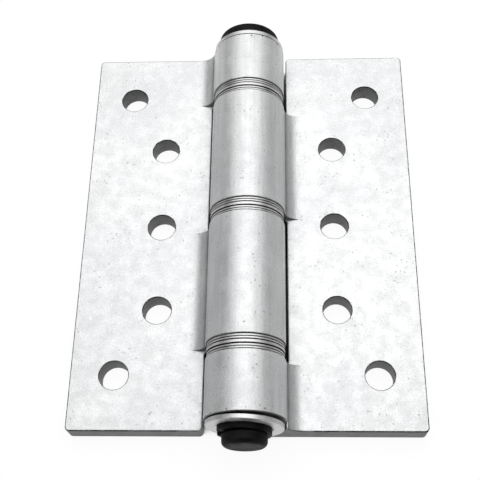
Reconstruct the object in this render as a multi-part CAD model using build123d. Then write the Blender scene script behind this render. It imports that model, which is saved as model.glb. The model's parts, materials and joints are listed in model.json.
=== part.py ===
from build123d import *
import os
from math import radians, sin, sqrt

# Cast steel door hinge with four knuckles, lying open on its back.
# The barrel runs along Y, its top end at +Y, and the fronts of the leaves face +Z.
# The origin is at mid-length, under the barrel axis, in the plane of the leaves' backs.
# The left leaf (-X) has knuckles 1 and 3, the right leaf (+X) has knuckles 2 and 4.

# Leaves
leaf_length = 150.0
leaf_reach = 60.0
leaf_thickness = 8.0
leaf_corner_radius = 1.5
leaf_edge_round = 0.5
barrel_radius = 13.5
barrel_inset = 2.0
seat_side_gap = 0.2
end_knuckle_length = 20.5
knuckle_blend_radius = 6.0
knuckle_rim_round = 0.5
notch_corner_radius = 1.5
side_clearance = 0.8

# Screw holes, from the leaf's middle and from the barrel axis
screw_hole_radius = 5.0
screw_hole_round = 0.4
outer_row = 56.0
outer_column = 45.0
inner_row = 32.5
inner_column = 31.5

# Pin and the bushes it turns in
pin_radius = 8.0
pin_head_radius = 11.5
pin_head_height = 4.95
pin_head_round = 1.0
pin_point_chamfer = 0.6
bush_wall = 1.45
bush_inset = 0.3
running_clearance = 0.05
press_interference = 0.01

# Thrust ball bearings between the knuckles, inset from the barrel's surface
race_inset = 0.4
race_thickness = 1.7
race_edge_chamfer = 0.15
rim_groove_width = 0.25
rim_groove_depth = 0.3
cage_inset = 0.25
cage_thickness = 1.0
cage_gap = 0.3
cage_inner_gap = 0.6
shaft_gap = 0.3
ball_radius = 1.25
ball_count = 12
ball_clearance = 0.05
pocket_clearance = 0.1

# Washers, inset from the barrel's surface, and the screw that hold the pin in
top_washer_inset = 0.25
top_washer_thickness = 1.9
end_washer_inset = 0.6
end_washer_thickness = 1.7
washer_edge_chamfer = 0.2
end_washer_hole_radius = 5.5
end_washer_tilt = 2.2
end_washer_lift = 0.1
seat_clearance = 0.05
spring_washer_radius = 9.0
spring_washer_hole_radius = 5.3
spring_washer_thickness = 1.6
spring_washer_rise = 0.6
spring_washer_split = 20.0
screw_radius = 5.0
screw_fit_clearance = 0.02
screw_length = 16.0
screw_head_radius = 7.5
screw_head_height = 3.9
screw_head_round = 1.8
screw_point_chamfer = 0.8
tapped_hole_spare = 4.0

# Largest difference at which two lengths count as equal
tiny = 0.0001

# Places along the barrel, from the bottom end up
axis_height = barrel_radius
bearing_height = 2 * race_thickness + 2 * cage_gap + cage_thickness
leaf_bottom = -leaf_length / 2
barrel_bottom = leaf_bottom + barrel_inset
barrel_top = -barrel_bottom
knuckle_room = barrel_top - barrel_bottom - 2 * end_knuckle_length - 3 * bearing_height
middle_knuckle_length = knuckle_room / 2


def knuckle_spans():
    """Bottom and top of knuckles 1 to 4, counted from the top of the barrel."""
    spans = []
    top = barrel_top
    for length in (end_knuckle_length, middle_knuckle_length, middle_knuckle_length, end_knuckle_length):
        spans.append((top - length, top))
        top -= length + bearing_height
    return spans


knuckles = knuckle_spans()
bush_radius = pin_radius + running_clearance + bush_wall
shaft_hole_radius = pin_radius + shaft_gap
race_radius = barrel_radius - race_inset
cage_radius = barrel_radius - cage_inset
ball_circle_radius = (race_radius + shaft_hole_radius) / 2
inner_edge = barrel_radius + side_clearance
seat_radius = barrel_radius + seat_side_gap
tongue_start = barrel_radius / 2

# Places at the ends of the barrel
top_washer_radius = barrel_radius - top_washer_inset
end_washer_radius = barrel_radius - end_washer_inset
washer_drop = end_washer_radius * sin(radians(end_washer_tilt))
end_washer_gap = washer_drop + end_washer_lift
pin_end = barrel_bottom - end_washer_gap + pin_radius * sin(radians(end_washer_tilt)) + seat_clearance
head_lean = screw_head_radius * sin(radians(end_washer_tilt))
spring_height = spring_washer_thickness + spring_washer_rise / 2
head_stand = end_washer_thickness + spring_height + head_lean + seat_clearance
screw_seat = barrel_bottom - end_washer_gap - head_stand
screw_point = screw_seat + screw_length
pin_head_seat = barrel_top + top_washer_thickness


def up_from(y):
    """A place on the barrel axis, with the local Z axis pointing up the barrel."""
    return Pos(0, y, axis_height) * Rot(X=-90)


def down_from(y):
    """A place on the barrel axis, with the local Z axis pointing down the barrel."""
    return Pos(0, y, axis_height) * Rot(X=90)


def rod(radius, bottom, top):
    """A round bar on the barrel axis between two heights."""
    return up_from(bottom) * extrude(Circle(radius), top - bottom)


def ring(radius, hole_radius, height):
    """A flat ring standing on the local origin."""
    return extrude(Circle(radius) - Circle(hole_radius), height)


def rims(shape, radius):
    """The circular edges of one radius."""
    circles = shape.edges().filter_by(GeomType.CIRCLE)
    return circles.filter_by(lambda edge: abs(edge.radius - radius) < tiny)


def corners_at(outline, y):
    """The corners of a plate's outline at one height of its inner edge."""
    return outline.vertices().filter_by(lambda v: abs(v.X - inner_edge) < tiny and abs(v.Y - y) < tiny)


def plate_outline(own):
    """Outline of a leaf's plate on the +X side, notched for the other leaf's knuckles."""
    outline = Pos((inner_edge + leaf_reach) / 2, 0) * Rectangle(leaf_reach - inner_edge, leaf_length)
    outline = fillet(outline.vertices().group_by(Axis.X)[-1], leaf_corner_radius)
    outline = fillet(corners_at(outline, -leaf_bottom), leaf_corner_radius)
    for bottom, top in own:
        outline += Pos(inner_edge / 2, (bottom + top) / 2) * Rectangle(inner_edge, top - bottom)
    tongue = Rectangle(inner_edge - tongue_start, barrel_inset)
    outline += Pos((inner_edge + tongue_start) / 2, leaf_bottom + barrel_inset / 2) * tongue
    for y in (own[0][1], own[0][0], own[1][1]):
        outline = fillet(corners_at(outline, y), notch_corner_radius)
    return outline


def knuckle_section():
    """Section of a knuckle on the +X side, drawn flat: round barrel, flat back and blend to the plate."""
    lift = leaf_thickness + knuckle_blend_radius
    blend_x = sqrt((barrel_radius + knuckle_blend_radius) ** 2 - (lift - axis_height) ** 2)
    share = barrel_radius / (barrel_radius + knuckle_blend_radius)
    touch = (blend_x * share, axis_height + (lift - axis_height) * share)
    outline = [
        Line((0, 0), (blend_x, 0)),
        Line((blend_x, 0), (blend_x, leaf_thickness)),
        RadiusArc((blend_x, leaf_thickness), touch, knuckle_blend_radius),
        ThreePointArc(touch, (-barrel_radius, axis_height), (0, 0)),
    ]
    return make_face(outline)


def knuckle(bottom, top):
    """One cast knuckle with rounded rims."""
    body = Pos(0, top, 0) * extrude(Plane.XZ * knuckle_section(), top - bottom)
    return fillet(rims(body, barrel_radius), knuckle_rim_round)


def end_blend():
    """The last of knuckle 4's blend, which runs on to the leaf's end beside the washer's seat."""
    beside = Pos(leaf_reach / 2 + tongue_start, leaf_thickness) * Rectangle(leaf_reach, leaf_thickness)
    section = (knuckle_section() & beside) - Pos(0, axis_height) * Circle(seat_radius)
    length = 2 * barrel_inset
    body = Pos(0, leaf_bottom + length, 0) * extrude(Plane.XZ * section, length)
    return fillet(rims(body, knuckle_blend_radius).sort_by(Axis.Y)[0], leaf_edge_round)


def leaf():
    """The casting with knuckles 2 and 4, on the +X side."""
    own = [knuckles[1], knuckles[3]]
    plate = extrude(plate_outline(own), leaf_thickness)
    faces = plate.faces().filter_by(Axis.Z)
    body = fillet(faces.edges(), leaf_edge_round)
    body -= rod(seat_radius, leaf_bottom, barrel_bottom)
    body += end_blend()
    for bottom, top in own:
        body += knuckle(bottom, top)
    for bottom, top in own:
        body -= rod(bush_radius - press_interference, bottom, top)
    places = [(outer_column, y) for y in (-outer_row, outer_row)]
    places += [(inner_column, y) for y in (-inner_row, 0, inner_row)]
    for x, y in places:
        body -= Pos(x, y, 0) * extrude(Circle(screw_hole_radius), leaf_thickness)
    return fillet(rims(body, screw_hole_radius), screw_hole_round)


def bush(bottom, top):
    """Sleeve pressed into a knuckle, just short of its ends."""
    height = top - bottom - 2 * bush_inset
    return up_from(bottom + bush_inset) * ring(bush_radius, pin_radius + running_clearance, height)


def hinge_pin():
    """Pin with a round head at the top and a tapped hole in its bottom end."""
    pin = rod(pin_radius, pin_end, pin_head_seat)
    pin = chamfer(pin.edges().sort_by(Axis.Y)[0], pin_point_chamfer)
    head = rod(pin_head_radius, pin_head_seat, pin_head_seat + pin_head_height)
    head = fillet(head.edges().sort_by(Axis.Y)[-1], pin_head_round)
    hole_radius = screw_radius + screw_fit_clearance
    hole_end = screw_point + tapped_hole_spare
    drill_tip = Cone(hole_radius, 0, hole_radius / 2, align=(Align.CENTER, Align.CENTER, Align.MIN))
    return pin + head - rod(hole_radius, pin_end, hole_end) - up_from(hole_end) * drill_tip


def washer(radius, hole_radius, thickness):
    """Turned washer with broken outer edges."""
    blank = ring(radius, hole_radius, thickness)
    return chamfer(rims(blank, radius), washer_edge_chamfer)


def spring_washer():
    """Split ring that rises round its turn, with the split on the -X side."""
    turn = 1 - spring_washer_split / 360
    width = spring_washer_radius - spring_washer_hole_radius
    middle = spring_washer_radius - width / 2
    path = Helix(spring_washer_rise / turn, spring_washer_rise, middle, lefthand=True)
    section = Plane(path @ 0, z_dir=path % 0, x_dir=(1, 0, 0)) * Rectangle(width, spring_washer_thickness)
    coil = sweep(section, path, is_frenet=True)
    return Pos(0, 0, spring_washer_thickness / 2) * Rot(Z=180 - spring_washer_split / 2) * coil


def end_screw():
    """Screw with a plain round head, turned into the bottom end of the pin."""
    shank = rod(screw_radius, screw_seat, screw_point)
    shank = chamfer(shank.edges().sort_by(Axis.Y)[-1], screw_point_chamfer)
    head = rod(screw_head_radius, screw_seat - screw_head_height, screw_seat)
    head = fillet(head.edges().sort_by(Axis.Y)[0], screw_head_round)
    return shank + head


def race():
    """Bearing washer standing on a knuckle, with its ball track on the upper face."""
    width = race_radius - shaft_hole_radius
    section = Pos(race_radius - width / 2, race_thickness / 2) * Rectangle(width, race_thickness)
    section = chamfer(section.vertices(), race_edge_chamfer)
    ball_height = race_thickness + cage_gap + cage_thickness / 2
    section -= Pos(ball_circle_radius, ball_height) * Circle(ball_radius + ball_clearance)
    section -= Pos(race_radius, race_thickness / 2) * Rectangle(2 * rim_groove_depth, rim_groove_width)
    return revolve(Plane.XZ * section, Axis.Z)


def cage():
    """Flat ring with a pocket for each ball."""
    outline = Circle(cage_radius) - Circle(pin_radius + cage_inner_gap)
    outline -= PolarLocations(ball_circle_radius, ball_count) * Circle(ball_radius + pocket_clearance)
    return Pos(0, 0, -cage_thickness / 2) * extrude(outline, cage_thickness)


def balls():
    """The balls of one bearing, in a circle round the local origin."""
    places = PolarLocations(ball_circle_radius, ball_count)
    return Compound([place * Sphere(ball_radius) for place in places])


bottom_end = Pos(0, barrel_bottom - end_washer_gap, axis_height) * Rot(Z=-end_washer_tilt) * Rot(X=90)
casting = leaf()
pieces = {
    "leaf_right": casting,
    "leaf_left": Rot(Z=180) * casting,
    "hinge_pin": hinge_pin(),
    "top_washer": up_from(barrel_top) * washer(top_washer_radius, shaft_hole_radius, top_washer_thickness),
    "end_washer": bottom_end * washer(end_washer_radius, end_washer_hole_radius, end_washer_thickness),
    "spring_washer": bottom_end * Pos(0, 0, end_washer_thickness) * spring_washer(),
    "end_screw": end_screw(),
}
for number, span in enumerate(knuckles, 1):
    pieces[f"bush_{number}"] = bush(*span)
for number in range(1, len(knuckles)):
    upper = knuckles[number - 1][0]
    lower = knuckles[number][1]
    middle = up_from((upper + lower) / 2)
    pieces[f"bearing_{number}_upper_race"] = down_from(upper) * race()
    pieces[f"bearing_{number}_cage"] = middle * cage()
    pieces[f"bearing_{number}_balls"] = middle * balls()
    pieces[f"bearing_{number}_lower_race"] = up_from(lower) * race()

os.makedirs("parts", exist_ok=True)
for name, shape in pieces.items():
    export_step(shape, f"parts/{name}.step")
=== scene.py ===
import json
import math

import bpy
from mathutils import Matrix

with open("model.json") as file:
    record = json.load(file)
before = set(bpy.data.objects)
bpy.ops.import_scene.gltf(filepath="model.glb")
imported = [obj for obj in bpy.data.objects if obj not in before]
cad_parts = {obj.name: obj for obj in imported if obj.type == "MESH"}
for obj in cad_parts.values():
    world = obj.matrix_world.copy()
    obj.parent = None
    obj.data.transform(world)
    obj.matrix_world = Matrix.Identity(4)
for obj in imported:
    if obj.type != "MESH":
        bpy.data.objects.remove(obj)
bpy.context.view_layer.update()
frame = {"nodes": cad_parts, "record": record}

# The object, in metres in the row frame
AXIS_HEIGHT = 0.0135  # the barrel's axis above the leaves' backs
BARREL_RADIUS = 0.0135
BARREL_END = 0.073  # from the middle to either end of the knuckles
BARREL_SKIN = (0.0006, 0.0001)  # past the radius, where the barrel's finish starts and is complete
STRIP_END = (0.0225, 0.024)  # from the axis, where the strip with the barrel and its blends ends
RIM_WIDTH = 0.0035  # chipped band at each end of the barrel

# The studio
FLOOR_SIZE = 12.0
FLOOR_DROP = 0.0002  # keeps the floor clear of the leaves' backs
FLOOR_WHITE = 1.05  # strength of the white that the camera sees in the floor
FLOOR_WHITE_SHARE = 0.9  # the rest is lit as usual and keeps the shadow
SKY_LIGHT = 0.06
CAMERA_LENS, CAMERA_SENSOR = 65.68, 36.0  # millimetres
CAMERA_PLACE = (0.01197, -0.14286, 0.29331)
CAMERA_TURN = (25.737, 2.555, 0.828)  # degrees


def grey(level):
    return (level, level, level)


class Material:
    """A node material that is built step by step. Its textures are in the row frame, in metres."""

    def __init__(self, name):
        self.material = bpy.data.materials.new(name)
        self.material.use_nodes = True
        self.tree = self.material.node_tree
        self.shader = self.tree.nodes["Principled BSDF"]
        coordinates = self.tree.nodes.new("ShaderNodeTexCoord")
        self.place = coordinates.outputs["Object"]
        self.normal = coordinates.outputs["Normal"]

    def link(self, value, socket):
        """Puts a constant on the socket itself, or links another node's output to it."""
        if isinstance(value, (int, float, tuple)):
            socket.default_value = value
        else:
            self.tree.links.new(value, socket)

    def node(self, kind, **settings):
        made = self.tree.nodes.new(kind)
        for name, value in settings.items():
            setattr(made, name, value)
        return made

    def stretched(self, scale):
        """The place, scaled by a different amount along each axis."""
        made = self.node("ShaderNodeMapping")
        self.link(self.place, made.inputs["Vector"])
        made.inputs["Scale"].default_value = scale
        return made.outputs["Vector"]

    def noise(self, scale, detail=3.0, roughness=0.5, place=None):
        made = self.node("ShaderNodeTexNoise")
        self.link(place or self.place, made.inputs["Vector"])
        made.inputs["Scale"].default_value = scale
        made.inputs["Detail"].default_value = detail
        made.inputs["Roughness"].default_value = roughness
        return made.outputs["Fac"]

    def cells(self, scale):
        """Distance to the nearest of many scattered points."""
        made = self.node("ShaderNodeTexVoronoi")
        self.link(self.place, made.inputs["Vector"])
        made.inputs["Scale"].default_value = scale
        return made.outputs["Distance"]

    def maths(self, operation, a, b=0.0):
        made = self.node("ShaderNodeMath", operation=operation)
        self.link(a, made.inputs[0])
        self.link(b, made.inputs[1])
        return made.outputs[0]

    def product(self, first, *others):
        for other in others:
            first = self.maths("MULTIPLY", first, other)
        return first

    def weighted(self, first, *others):
        """Sum of pairs of a value and its weight."""
        total = self.product(*first)
        for other in others:
            total = self.maths("ADD", total, self.product(*other))
        return total

    def ramp(self, value, low, high, start=0.0, end=1.0):
        """value from low to high, turned into start to end and held there."""
        made = self.node("ShaderNodeMapRange", interpolation_type="SMOOTHSTEP")
        self.link(value, made.inputs["Value"])
        made.inputs["From Min"].default_value = low
        made.inputs["From Max"].default_value = high
        self.link(start, made.inputs["To Min"])
        self.link(end, made.inputs["To Max"])
        return made.outputs["Result"]

    def mix(self, share, a, b):
        """Colour a where share is 0 and colour b where it is 1."""
        made = self.node("ShaderNodeMix", data_type="RGBA")
        self.link(share, made.inputs[0])
        for socket, colour in ((made.inputs[6], a), (made.inputs[7], b)):
            self.link((*colour, 1.0) if isinstance(colour, tuple) else colour, socket)
        return made.outputs[2]

    def part_of(self, vector, axis):
        """Size of one coordinate of a vector, whatever its sign."""
        parts = self.node("ShaderNodeSeparateXYZ")
        self.link(vector, parts.inputs[0])
        return self.maths("ABSOLUTE", parts.outputs[axis])

    def along(self, axis):
        """Distance either way from the middle along one axis of the row frame."""
        return self.part_of(self.place, axis)

    def facing(self, axis):
        """1 where the surface faces either way along one axis, 0 where it runs along it."""
        return self.part_of(self.normal, axis)

    def axis_distance(self):
        """Distance from the barrel's axis."""
        parts = self.node("ShaderNodeSeparateXYZ")
        self.link(self.place, parts.inputs[0])
        across = parts.outputs["X"]
        height = self.maths("SUBTRACT", parts.outputs["Z"], AXIS_HEIGHT)
        return self.maths("SQRT", self.weighted((across, across), (height, height)))

    def edges(self, radius):
        """1 along sharp edges and 0 on open faces."""
        soft = self.node("ShaderNodeBevel", samples=6)
        soft.inputs["Radius"].default_value = radius
        plain = self.node("ShaderNodeNewGeometry")
        dot = self.node("ShaderNodeVectorMath", operation="DOT_PRODUCT")
        self.link(soft.outputs["Normal"], dot.inputs[0])
        self.link(plain.outputs["Normal"], dot.inputs[1])
        return self.ramp(dot.outputs["Value"], 0.98, 0.8)

    def openness(self, distance, samples=8):
        """Share of the sky that is free within a distance: 1 in the open, near 0 in a narrow gap."""
        made = self.node("ShaderNodeAmbientOcclusion", samples=samples)
        made.inputs["Distance"].default_value = distance
        return made.outputs["AO"]

    def bump(self, height, depth):
        made = self.node("ShaderNodeBump")
        made.inputs["Distance"].default_value = depth
        self.link(height, made.inputs["Height"])
        self.link(made.outputs["Normal"], self.shader.inputs["Normal"])

    def set(self, **values):
        """Values for the shader's inputs, with _ for each space in their names."""
        for name, value in values.items():
            self.link(value, self.shader.inputs[name.replace("_", " ")])


def cast_steel():
    """Pale shot-blasted casting, finely pitted, with lengthwise machining streaks on the barrel."""
    dull, pale, cloud = (0.736, 0.744, 0.752), (0.812, 0.818, 0.82), (0.864, 0.868, 0.87)
    dark_grain, light_grain, streak = grey(0.55), (0.96, 0.96, 0.95), (0.6, 0.61, 0.62)
    fleck, pit, chip, seam_shade = grey(0.97), (0.34, 0.34, 0.35), grey(0.06), grey(0.03)
    side_shade_dark, side_shade_light, worn, edge_shade_line = grey(0.04), grey(0.16), (0.9, 0.9, 0.89), grey(0.01)

    m = Material("cast_steel")
    upright, endways, from_axis = m.facing("Z"), m.facing("Y"), m.axis_distance()
    on_barrel = m.ramp(from_axis, BARREL_RADIUS + BARREL_SKIN[0], BARREL_RADIUS + BARREL_SKIN[1])
    blotches = m.noise(26, detail=4, roughness=0.5)
    clouds = m.noise(230, detail=5, roughness=0.6)
    grain = m.noise(1900, detail=3, roughness=0.6)
    streaks = m.noise(1.0, detail=4, roughness=0.6, place=m.stretched((420, 22, 420)))
    patches = m.noise(120, detail=2)
    pits = m.product(m.ramp(m.cells(620), 0.22, 0.08), m.ramp(patches, 0.5, 0.62))
    flecks = m.product(m.ramp(m.cells(760), 0.24, 0.1), m.ramp(patches, 0.52, 0.42))

    # Blasted and machined faces
    tone = m.mix(m.ramp(blotches, 0.36, 0.64), dull, pale)
    tone = m.mix(m.ramp(clouds, 0.4, 0.64, 0.08, 0.42), tone, cloud)
    tone = m.mix(m.ramp(grain, 0.56, 0.68, 0.0, 0.5), tone, dark_grain)
    tone = m.mix(m.ramp(grain, 0.44, 0.34, 0.0, 0.6), tone, light_grain)
    tone = m.mix(m.product(m.ramp(streaks, 0.45, 0.66, 0.0, 0.32), on_barrel), tone, streak)
    tone = m.mix(m.product(flecks, 0.6), tone, fleck)
    tone = m.mix(m.product(pits, m.ramp(on_barrel, 0.0, 1.0, 0.3, 0.7)), tone, pit)

    # Painted shade: the plates' sides, the holes and the knuckles' end faces are coloured much darker,
    # for the shade that falls on them
    sides = m.product(m.ramp(upright, 0.8, 0.3), m.maths("SUBTRACT", 1.0, on_barrel))
    side_shade = m.maths("MAXIMUM", sides, m.ramp(endways, 0.3, 0.7))
    tone = m.mix(m.product(side_shade, 0.85), tone, m.mix(m.ramp(clouds, 0.4, 0.6), side_shade_dark, side_shade_light))

    # Chips round the barrel's ends and at the knuckles' edges
    ends = m.ramp(m.along("Y"), BARREL_END - RIM_WIDTH, BARREL_END)
    rim = m.maths("MAXIMUM", ends, m.ramp(endways, 0.1, 0.5))
    chips = m.product(m.ramp(m.cells(850), 0.36, 0.2), m.ramp(m.noise(230, detail=2), 0.48, 0.56))
    tone = m.mix(m.product(chips, rim, on_barrel, 0.9), tone, chip)

    # Painted shade in the seams, where little of the sky is free, and lighter worn edges
    tone = m.mix(m.ramp(m.openness(0.0009), 0.72, 0.35), tone, seam_shade)
    tone = m.mix(m.product(m.edges(0.0004), 0.5), tone, worn)
    # Painted shade: a near-black line where the plates' backs round over into their sides, outside the
    # barrel's strip, darker still in noisy spots as chips
    rounded = m.product(m.ramp(upright, 0.98, 0.88), m.ramp(upright, 0.02, 0.25))
    uneven = m.ramp(m.noise(420, detail=4, roughness=0.6), 0.42, 0.54, 0.45, 1.0)
    tone = m.mix(m.product(rounded, m.ramp(from_axis, *STRIP_END), uneven), tone, edge_shade_line)

    metallic, roughness = m.ramp(side_shade, 0.0, 1.0, 0.8, 0.4), m.ramp(clouds, 0.35, 0.65, 0.52, 0.62)
    m.set(Base_Color=tone, Metallic=metallic, Roughness=roughness)
    m.bump(m.weighted((grain, 0.6), (clouds, 0.8), (pits, -0.8), (streaks, on_barrel, 0.5)), 0.00009)
    return m.material


def bright_steel():
    """Turned steel with fine rings round the barrel's axis, and painted shade on its edges and in its
    seams.
    """
    dull, pale, ring, edge_shade, seam_shade = grey(0.66), (0.78, 0.78, 0.77), grey(0.5), grey(0.015), grey(0.01)

    m = Material("bright_steel")
    ring_noise = m.node("ShaderNodeTexNoise", noise_dimensions="1D")
    m.link(m.axis_distance(), ring_noise.inputs["W"])
    ring_noise.inputs["Scale"].default_value = 6000
    rings = ring_noise.outputs["Fac"]
    clouds = m.noise(300, detail=4, roughness=0.6)
    tone = m.mix(m.ramp(clouds, 0.38, 0.62), dull, pale)
    tone = m.mix(m.ramp(rings, 0.5, 0.7, 0.0, 0.3), tone, ring)
    # Painted shade: the sharp edges and the seams are darkened nearly to black, for the shade in the
    # gaps between the turned parts
    tone = m.mix(m.product(m.edges(0.00035), 0.95), tone, edge_shade)
    tone = m.mix(m.ramp(m.openness(0.001), 0.94, 0.6), tone, seam_shade)
    m.set(Base_Color=tone, Metallic=0.8, Roughness=m.ramp(clouds, 0.35, 0.65, 0.42, 0.54))
    m.bump(m.weighted((rings, 0.5), (clouds, 1.0)), 0.00003)
    return m.material


def black_steel():
    """Black oxide, slightly uneven, worn to bare steel in a few places along the edges."""
    deep, faded, bare = (0.007, 0.007, 0.008), (0.015, 0.015, 0.016), grey(0.12)

    m = Material("black_steel")
    clouds = m.noise(260, detail=4, roughness=0.6)
    grain = m.noise(2600, detail=2, roughness=0.5)
    tone = m.mix(m.ramp(clouds, 0.36, 0.64), deep, faded)
    worn = m.product(m.edges(0.0003), m.ramp(m.noise(900, detail=3), 0.5, 0.65, 0.0, 0.3))
    tone = m.mix(worn, tone, bare)
    roughness = m.ramp(clouds, 0.35, 0.65, 0.5, 0.65)
    m.set(Base_Color=tone, Metallic=0.1, Roughness=roughness, Specular_IOR_Level=0.1)
    m.bump(m.weighted((grain, 0.4), (clouds, 1.0)), 0.00005)
    return m.material


def bush_bronze():
    """Sintered bronze with fine pores."""
    dull, bright, pore = (0.52, 0.36, 0.19), (0.62, 0.45, 0.26), (0.2, 0.13, 0.07)

    m = Material("bush_bronze")
    clouds = m.noise(300, detail=4, roughness=0.6)
    pores = m.ramp(m.cells(2500), 0.2, 0.08)
    tone = m.mix(m.ramp(clouds, 0.36, 0.64), dull, bright)
    tone = m.mix(m.product(pores, 0.6), tone, pore)
    m.set(Base_Color=tone, Metallic=0.9, Roughness=m.ramp(clouds, 0.35, 0.65, 0.4, 0.55))
    m.bump(m.weighted((clouds, 1.0), (pores, -1.0)), 0.00004)
    return m.material


def floor_material():
    """Pale floor, white to the camera and to reflections, with painted shade only in the slots beside
    the barrel.
    """
    slot_shade, dull, pale = grey(0.02), grey(0.78), grey(0.8)

    m = Material("pale_floor")
    # Painted shade: in the narrow slots beside the barrel the floor turns dark and gets no white
    free = m.ramp(m.openness(0.015, samples=16), 0.12, 0.4)
    free = m.maths("MAXIMUM", free, m.ramp(m.axis_distance(), *STRIP_END))
    tone = m.mix(m.noise(9, detail=2), dull, pale)
    m.set(Base_Color=m.mix(free, slot_shade, tone), Roughness=0.9)
    paths = m.node("ShaderNodeLightPath")
    seen = m.maths("MAXIMUM", paths.outputs["Is Camera Ray"], paths.outputs["Is Glossy Ray"])
    seen = m.maths("MAXIMUM", seen, paths.outputs["Is Transmission Ray"])
    white = m.node("ShaderNodeEmission")
    white.inputs["Strength"].default_value = FLOOR_WHITE
    mixed = m.node("ShaderNodeMixShader")
    m.link(m.product(seen, FLOOR_WHITE_SHARE, free), mixed.inputs[0])
    m.link(m.shader.outputs[0], mixed.inputs[1])
    m.link(white.outputs[0], mixed.inputs[2])
    m.link(mixed.outputs[0], m.tree.nodes["Material Output"].inputs["Surface"])
    return m.material


def add_floor():
    bpy.ops.mesh.primitive_plane_add(size=FLOOR_SIZE, location=(0, 0, -FLOOR_DROP))
    floor = bpy.context.object
    floor.name = "floor"
    floor.data.materials.append(floor_material())


def add_world():
    """White to the camera and faint as light."""
    world = bpy.data.worlds.new("studio")
    bpy.context.scene.world = world
    world.use_nodes = True
    nodes, links = world.node_tree.nodes, world.node_tree.links
    light = nodes["Background"]
    light.inputs["Color"].default_value = (0.96, 0.98, 1.0, 1.0)
    light.inputs["Strength"].default_value = SKY_LIGHT
    backdrop = nodes.new("ShaderNodeBackground")
    backdrop.inputs["Color"].default_value = (1.0, 1.0, 1.0, 1.0)
    paths = nodes.new("ShaderNodeLightPath")
    mixed = nodes.new("ShaderNodeMixShader")
    links.new(paths.outputs["Is Camera Ray"], mixed.inputs[0])
    links.new(light.outputs[0], mixed.inputs[1])
    links.new(backdrop.outputs[0], mixed.inputs[2])
    links.new(mixed.outputs[0], nodes["World Output"].inputs["Surface"])


def add_softbox(name, place, size, power):
    """An area lamp, in metres and watts, that faces the middle of the leaves' backs."""
    light = bpy.data.lights.new(name, "AREA")
    light.shape = "RECTANGLE"
    light.size, light.size_y = size
    light.energy = power
    lamp = bpy.data.objects.new(name, light)
    bpy.context.collection.objects.link(lamp)
    lamp.location = place
    lamp.rotation_euler = (-lamp.location).to_track_quat("-Z", "Y").to_euler()


def add_camera():
    data = bpy.data.cameras.new("camera")
    data.lens = CAMERA_LENS
    data.sensor_width = CAMERA_SENSOR
    data.clip_start = 0.01
    camera = bpy.data.objects.new("camera", data)
    bpy.context.collection.objects.link(camera)
    camera.location = CAMERA_PLACE
    camera.rotation_euler = tuple(math.radians(angle) for angle in CAMERA_TURN)
    bpy.context.scene.camera = camera


def dress():
    """Gives every CAD piece the material that the record's slot names."""
    made = {
        "cast_steel": cast_steel(),
        "bright_steel": bright_steel(),
        "black_steel": black_steel(),
        "bush_bronze": bush_bronze(),
    }
    for part in frame["record"]["subparts"]:
        piece = frame["nodes"][part["node"]]
        for slot in piece.material_slots:
            slot.material = made[part["material_slot"]]


dress()
add_floor()
add_world()
add_softbox("overhead", place=(0.02, 0.22, 0.65), size=(0.95, 0.9), power=5.6)
add_softbox("left_fill", place=(-0.7, -0.3, 0.5), size=(0.5, 0.5), power=0.25)
add_camera()

bpy.context.scene.view_settings.view_transform = "Standard"
